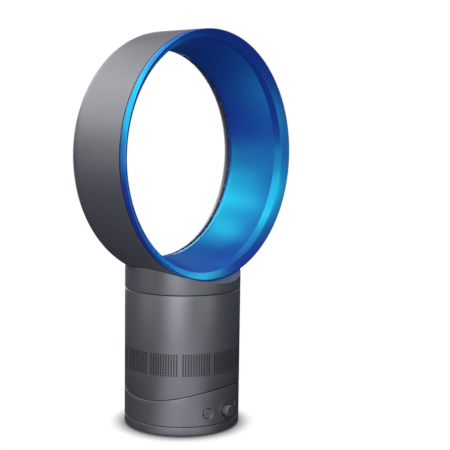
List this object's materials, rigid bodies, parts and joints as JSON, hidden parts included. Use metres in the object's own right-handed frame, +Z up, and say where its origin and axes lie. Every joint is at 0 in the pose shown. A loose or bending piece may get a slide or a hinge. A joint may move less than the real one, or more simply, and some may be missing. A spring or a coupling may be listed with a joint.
{
  "type": "bladeless fan",
  "caption": "Bladeless desk fan: ring nozzle with an air slot on a round column that swivels and tilts, with perforated inlet, impeller, knob and push buttons.",
  "frame": {"origin": "on the floor under the column axis", "axes": "+Z up; the air blows towards -Y, where the knob and buttons are; +X is to the right of someone who faces the fan's front"},
  "size_m": [0.304, 0.156, 0.49],
  "materials": {
    "grey_shell": "satin metallic grey paint on moulded plastic",
    "grey_control": "satin metallic grey paint on moulded plastic",
    "blue_liner": "smooth metallic blue paint with a soft gloss",
    "black_plastic": "fine-textured black moulding",
    "black_rubber": "matt rubber",
    "white_plastic": "self-coloured moulding",
    "steel": "zinc plated",
    "circuit_board": "green solder mask",
    "grey_foam": "open-cell foam"
  },
  "bodies": {
    "foot": {"foot_shell": "grey_shell", "foot_plate": "black_plastic", "foot_pads": "black_rubber", "foot_screws": "steel", "cord_gland": "black_rubber", "slide_ring": "white_plastic", "swivel_gear": "white_plastic", "spindle_clip": "steel"},
    "base": {"base_shell": "grey_shell", "tilt_cradle": "black_plastic", "tilt_rails": "white_plastic", "cradle_screws": "steel", "rail_screws": "steel", "oscillation_motor": "steel", "motor_screws": "steel", "control_board": "circuit_board", "board_screws": "steel", "speed_encoder": "black_plastic", "button_switches": "black_plastic"},
    "pinion": {"oscillation_pinion": "white_plastic", "pinion_shaft": "steel"},
    "power_button": {"power_button": "grey_control"},
    "oscillation_button": {"oscillation_button": "grey_control"},
    "knob": {"speed_knob": "grey_control", "encoder_shaft": "steel"},
    "body": {"body_shell": "grey_shell", "body_floor": "black_plastic", "lower_foam": "grey_foam", "upper_foam": "grey_foam", "impeller_housing": "black_plastic", "housing_mounts": "black_rubber", "motor_bucket": "black_plastic", "bucket_cap": "black_plastic", "motor": "steel", "motor_foam": "grey_foam", "outlet_seal": "black_rubber", "bayonet_collar": "black_plastic", "neck_gasket": "black_rubber"},
    "impeller": {"impeller": "white_plastic", "motor_shaft": "steel", "impeller_nut": "steel"},
    "nozzle": {"nozzle_neck": "grey_shell", "outer_casing": "grey_shell", "inner_casing": "blue_liner", "casing_ring": "black_plastic", "slot_spacers": "grey_shell"}
  },
  "joints": [
    {"name": "oscillation", "type": "hinge", "parent": "foot", "child": "base", "pos_m": [0, 0, 0.0126], "axis": [0, 0, 1], "range_deg": [-45, 45]},
    {"name": "pinion_spin", "type": "hinge", "parent": "base", "child": "pinion", "pos_m": [-0.02121, 0.02121, 0.021], "axis": [0, 0, 1], "range_deg": [-180, 180]},
    {"name": "power_button_press", "type": "slide", "parent": "base", "child": "power_button", "axis": [0.3665, 0.9304, 0], "range_m": [0, 0.001], "stiffness_N_per_m": 400, "springref_m": -0.001},
    {"name": "oscillation_button_press", "type": "slide", "parent": "base", "child": "oscillation_button", "axis": [-0.3665, 0.9304, 0], "range_m": [0, 0.001], "stiffness_N_per_m": 400, "springref_m": -0.001},
    {"name": "knob_turn", "type": "hinge", "parent": "base", "child": "knob", "pos_m": [0, -0.0725, 0.0275], "axis": [0, 1, 0], "range_deg": [-150, 150]},
    {"name": "tilt", "type": "hinge", "parent": "base", "child": "body", "pos_m": [0, 0, 0.2336], "axis": [1, 0, 0], "range_deg": [-10, 10]},
    {"name": "impeller_spin", "type": "hinge", "parent": "body", "child": "impeller", "pos_m": [0, 0, 0.12], "axis": [0, 0, 1], "continuous": true},
    {"name": "nozzle_lock", "type": "hinge", "parent": "body", "child": "nozzle", "pos_m": [0, 0, 0.173], "axis": [0, 0, 1], "range_deg": [-16, 0]}
  ],
  "couplings": [
    {"joint": "pinion_spin", "follows": "oscillation", "ratio": 4}
  ]
}
